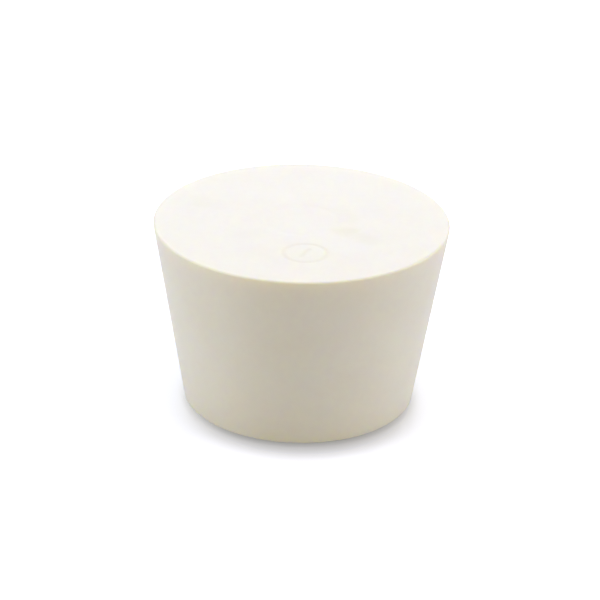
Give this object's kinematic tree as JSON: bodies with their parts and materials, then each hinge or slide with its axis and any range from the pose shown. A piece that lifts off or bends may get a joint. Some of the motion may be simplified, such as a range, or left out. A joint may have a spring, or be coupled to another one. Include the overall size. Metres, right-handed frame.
{
  "type": "rubber stopper",
  "caption": "Solid tapered rubber stopper with two flat ends and rounded edges, which plugs the neck of a flask, bottle or tube.",
  "frame": {"origin": "centre of the narrow end's flat face, on which the stopper stands", "axes": "+Z along the plug's axis, from the narrow end to the wide end"},
  "size_m": [0.039, 0.039, 0.025],
  "materials": {
    "white_rubber": "moulded matte, warm off-white, slightly translucent at its edges"
  },
  "bodies": {
    "root": {"stopper": "white_rubber"}
  },
  "joints": []
}
